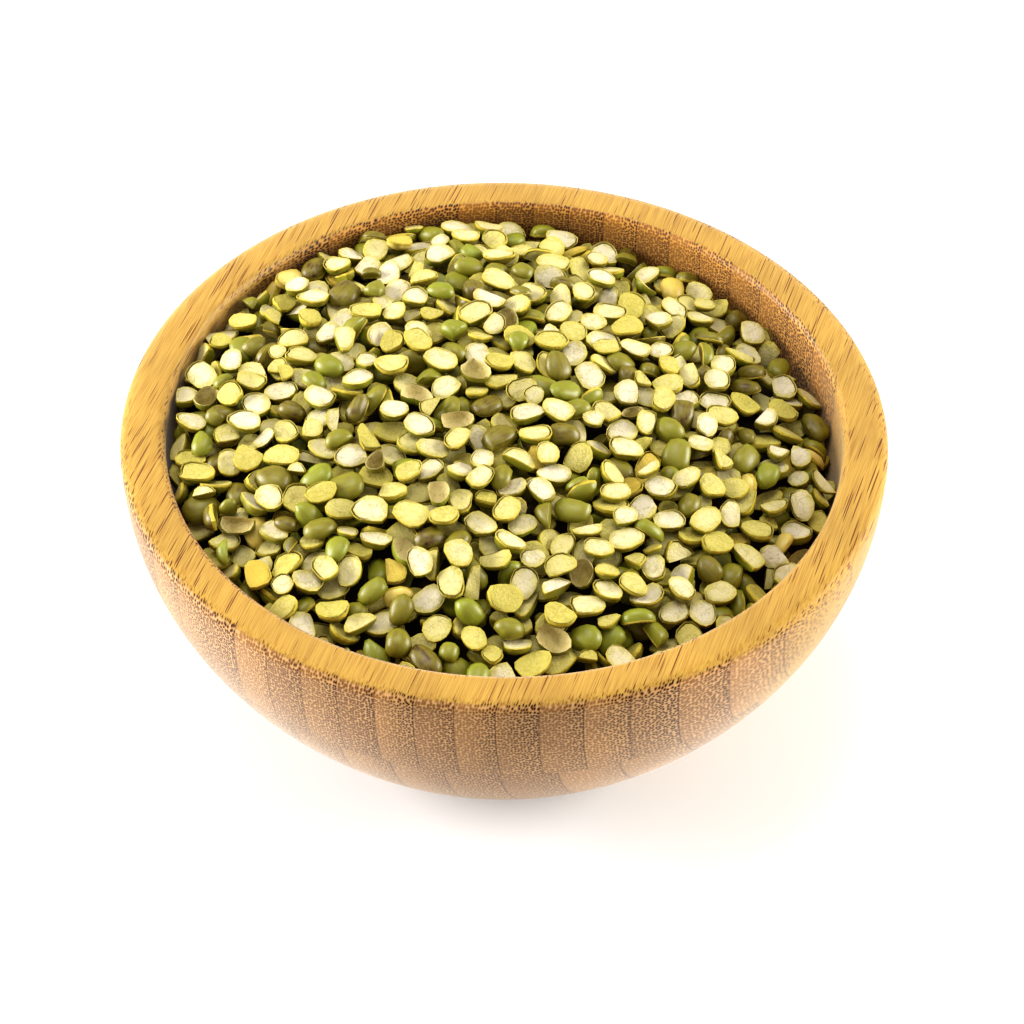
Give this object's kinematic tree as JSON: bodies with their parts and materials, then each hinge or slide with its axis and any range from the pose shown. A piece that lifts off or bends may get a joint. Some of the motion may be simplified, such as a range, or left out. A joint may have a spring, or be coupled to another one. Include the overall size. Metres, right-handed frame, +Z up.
{
  "type": "bowl of dry split lentils",
  "caption": "Small turned bamboo bowl with a flat base and rounded rim, heaped with dry split green lentils in their skins.",
  "frame": {"origin": "centre of the bowl's flat base, on the table", "axes": "+Z up out of the bowl, along the bowl's turning axis; the heap is lowest towards +X"},
  "size_m": [0.115, 0.115, 0.056],
  "materials": {
    "bamboo": "turned laminated bamboo with a clear satin lacquer",
    "split_lentils": "dry split green pulses: matt cream cut faces and smooth olive skins"
  },
  "bodies": {
    "root": {"bowl": "bamboo", "lentils": "split_lentils"}
  },
  "joints": []
}
